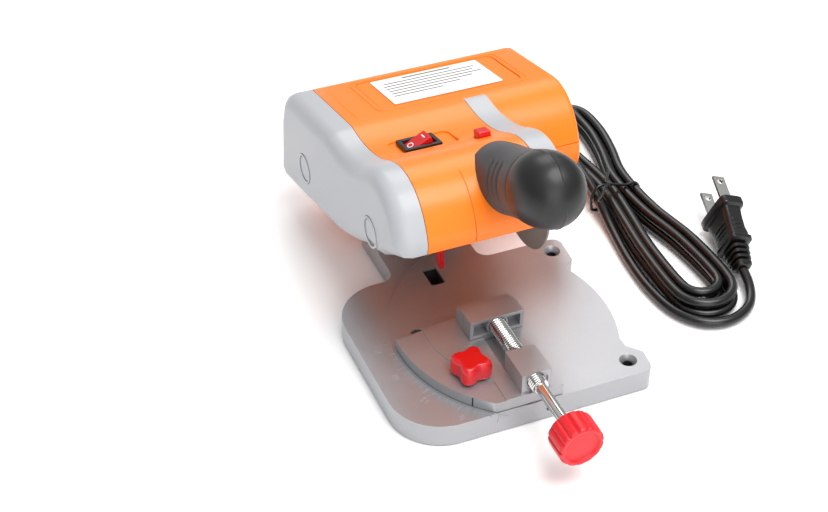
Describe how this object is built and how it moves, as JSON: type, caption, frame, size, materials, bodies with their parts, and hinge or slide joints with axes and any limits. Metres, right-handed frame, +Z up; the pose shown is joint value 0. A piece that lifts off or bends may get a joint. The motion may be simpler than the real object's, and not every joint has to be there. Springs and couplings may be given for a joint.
{
  "type": "trim saw",
  "caption": "Small bench trim saw: cast base with a swivelling screw vise, and a sprung motor head that tilts down so its blade cuts the clamped piece.",
  "frame": {"origin": "on the underside of the base plate, under the middle of the plate", "axes": "+Z up, -Y towards the user's front (handle and vise knob), +X to the saw's right (blade side)"},
  "size_m": [0.2109, 0.2839, 0.1286],
  "materials": {
    "cast_silver": "satin cast, painted silver",
    "steel": "machined",
    "spring_steel": "blued",
    "blade_steel": "ground, with a coated rim",
    "orange_plastic": "fine texture",
    "grey_plastic": "fine texture",
    "black_plastic": "satin",
    "stem_plastic": "matte",
    "red_plastic": "gloss",
    "sticker": "printed film",
    "soft_black": "moulded",
    "carbon": "sintered",
    "copper": "wound"
  },
  "bodies": {
    "base": {"base_casting": "cast_silver", "hinge_pin": "steel", "hinge_spring": "spring_steel", "cord_lead": "soft_black", "cord_hank": "soft_black", "cord_tail": "soft_black", "plug_body": "soft_black", "plug_prong_left": "steel", "plug_prong_right": "steel"},
    "swivel": {"vise_table": "cast_silver", "lock_nut": "steel"},
    "lock": {"lock_knob": "red_plastic", "lock_screw": "steel"},
    "jaw": {"vise_jaw": "cast_silver"},
    "screw": {"vise_screw": "steel", "vise_knob": "red_plastic"},
    "head": {"housing_upper": "orange_plastic", "housing_lower": "orange_plastic", "belt_cover": "grey_plastic", "cover_plug_rear": "grey_plastic", "cover_plug_front": "grey_plastic", "blade_cover": "grey_plastic", "label_plate": "orange_plastic", "label_sticker": "sticker", "head_bracket": "cast_silver", "strain_relief": "soft_black", "handle_stem": "stem_plastic", "handle_ball": "black_plastic", "switch_bezel": "black_plastic", "latch_pin": "steel", "motor_stator": "spring_steel", "motor_end_left": "black_plastic", "motor_end_right": "black_plastic", "motor_bearing_left": "steel", "motor_bearing_right": "steel", "carbon_brush_rear": "carbon", "carbon_brush_front": "carbon", "arbor_bearing_left": "steel", "arbor_bearing_right": "steel", "drive_belt": "soft_black"},
    "rocker": {"switch_rocker": "red_plastic"},
    "latch": {"latch_hook": "red_plastic"},
    "button": {"latch_button": "red_plastic"},
    "motor": {"motor_armature": "copper", "motor_fan": "black_plastic", "motor_pulley": "steel"},
    "arbor": {"arbor_shaft": "steel", "arbor_pulley": "steel", "flange_inner": "steel", "saw_blade": "blade_steel", "flange_outer": "steel", "arbor_nut": "steel"}
  },
  "joints": [
    {"name": "head_tilt", "type": "hinge", "parent": "base", "child": "head", "pos_m": [0, 0.078, 0.022], "axis": [1, 0, 0], "range_deg": [0, 24.5], "stiffness_Nm_per_rad": 1.2, "springref_deg": -28.65},
    {"name": "vise_swivel", "type": "hinge", "parent": "base", "child": "swivel", "pos_m": [0.0135, 0.0013, 0.0108], "axis": [0, 0, -1], "range_deg": [0, 45]},
    {"name": "lock_turn", "type": "hinge", "parent": "swivel", "child": "lock", "pos_m": [-0.0295, -0.02847, 0.017], "axis": [0, 0, 1], "range_deg": [0, 360]},
    {"name": "jaw_slide", "type": "slide", "parent": "swivel", "child": "jaw", "axis": [0, -1, 0], "range_m": [0, 0.0215]},
    {"name": "screw_turn", "type": "hinge", "parent": "jaw", "child": "screw", "pos_m": [-0.0076, -0.03, 0.022], "axis": [0, -1, 0], "range_deg": [0, 6200]},
    {"name": "rocker_tilt", "type": "hinge", "parent": "head", "child": "rocker", "pos_m": [-0.0219, 0.04894, 0.08287], "axis": [0, 0.974, -0.2267], "range_deg": [0, 14]},
    {"name": "latch_button_press", "type": "slide", "parent": "head", "child": "button", "axis": [0, -0.2267, -0.974], "range_m": [0, 0.002], "stiffness_N_per_m": 400, "springref_m": -0.001},
    {"name": "latch_swing", "type": "hinge", "parent": "head", "child": "latch", "pos_m": [-0.0134, 0.0427, 0.05383], "axis": [-1, 0, 0], "range_deg": [0, 2.6]},
    {"name": "motor_spin", "type": "hinge", "parent": "head", "child": "motor", "pos_m": [0, 0.10545, 0.04467], "axis": [1, 0, 0], "continuous": true},
    {"name": "arbor_spin", "type": "hinge", "parent": "head", "child": "arbor", "pos_m": [0, 0.01991, 0.06796], "axis": [1, 0, 0], "continuous": true}
  ],
  "couplings": [
    {"joint": "screw_turn", "follows": "jaw_slide", "rad_per_m": 5026.5},
    {"joint": "latch_swing", "follows": "latch_button_press", "rad_per_m": 21.8},
    {"joint": "motor_spin", "follows": "arbor_spin", "ratio": 0.5556}
  ]
}
